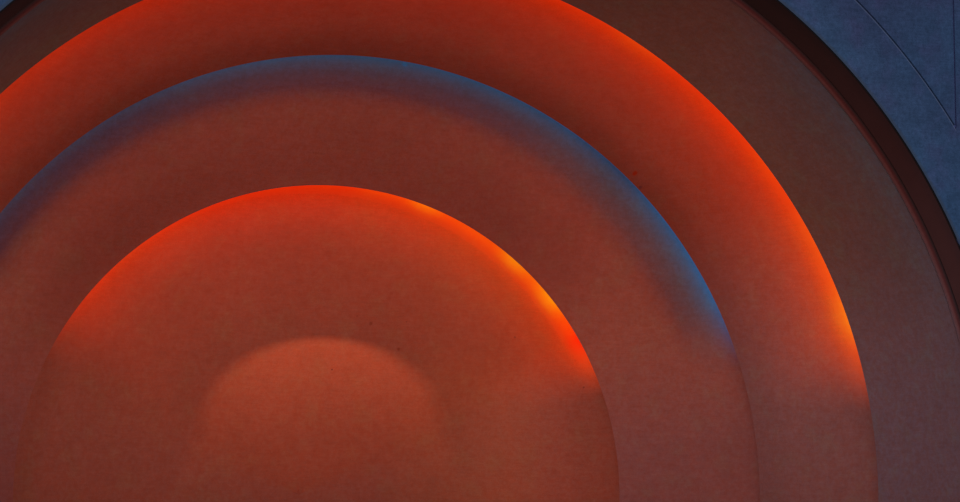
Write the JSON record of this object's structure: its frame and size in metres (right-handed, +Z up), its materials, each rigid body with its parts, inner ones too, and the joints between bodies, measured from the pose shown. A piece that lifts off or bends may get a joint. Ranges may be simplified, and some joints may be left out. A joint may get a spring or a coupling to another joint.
{
  "type": "band shell",
  "caption": "Outdoor concert band shell: a flat stuccoed front wall with a round arch, stepped plaster rings lit from hidden coves, and a half-dome apse on a raised stage.",
  "frame": {"origin": "on the ground, at the middle of the footprint", "axes": "+X to the right as seen by the audience, +Y into the shell, +Z up"},
  "size_m": [16.49, 11.731, 9.612],
  "materials": {
    "front_stucco": "matte painted stucco with fine mottling",
    "coping_stone": "matte painted cast cap",
    "band_plaster": "matte dark brown painted plaster",
    "bead_plaster": "matte red-brown painted plaster",
    "outer_ring_plaster": "matte brown painted plaster",
    "middle_ring_plaster": "matte plaster with an orange-red wash",
    "inner_ring_plaster": "matte red-brown plaster with a blue wash",
    "apse_plaster": "matte plaster with an orange wash",
    "cove_plaster": "matte unpainted render",
    "lamp_metal": "satin black enamel",
    "stage_concrete": "float-finished concrete, worn",
    "base_concrete": "board-marked concrete, weather-stained"
  },
  "bodies": {
    "root": {"apron_slab": "stage_concrete", "apse_crown": "apse_plaster", "apse_left": "apse_plaster", "apse_right": "apse_plaster", "arch_band_crown": "band_plaster", "arch_band_left": "band_plaster", "arch_band_right": "band_plaster", "arch_bead": "bead_plaster", "centre_coping": "coping_stone", "front_crown": "front_stucco", "front_foundation": "base_concrete", "front_head_left": "front_stucco", "front_head_right": "front_stucco", "front_wing_left": "front_stucco", "front_wing_right": "front_stucco", "inner_cove_bulkhead": "cove_plaster", "inner_cove_lamps": "lamp_metal", "inner_ring_crown": "inner_ring_plaster", "inner_ring_left": "inner_ring_plaster", "inner_ring_right": "inner_ring_plaster", "middle_cove_bulkhead": "cove_plaster", "middle_cove_lamps": "lamp_metal", "middle_ring_crown": "middle_ring_plaster", "middle_ring_left": "middle_ring_plaster", "middle_ring_right": "middle_ring_plaster", "outer_cove_bulkhead": "cove_plaster", "outer_cove_lamps": "lamp_metal", "outer_ring_crown": "outer_ring_plaster", "outer_ring_left": "outer_ring_plaster", "outer_ring_right": "outer_ring_plaster", "shell_base_wall_left": "base_concrete", "shell_base_wall_rear": "base_concrete", "shell_base_wall_right": "base_concrete", "shell_floor": "stage_concrete", "stage_front_wall": "base_concrete", "stage_side_wall_left": "base_concrete", "stage_side_wall_right": "base_concrete", "wing_coping_left": "coping_stone", "wing_coping_right": "coping_stone"}
  },
  "joints": []
}
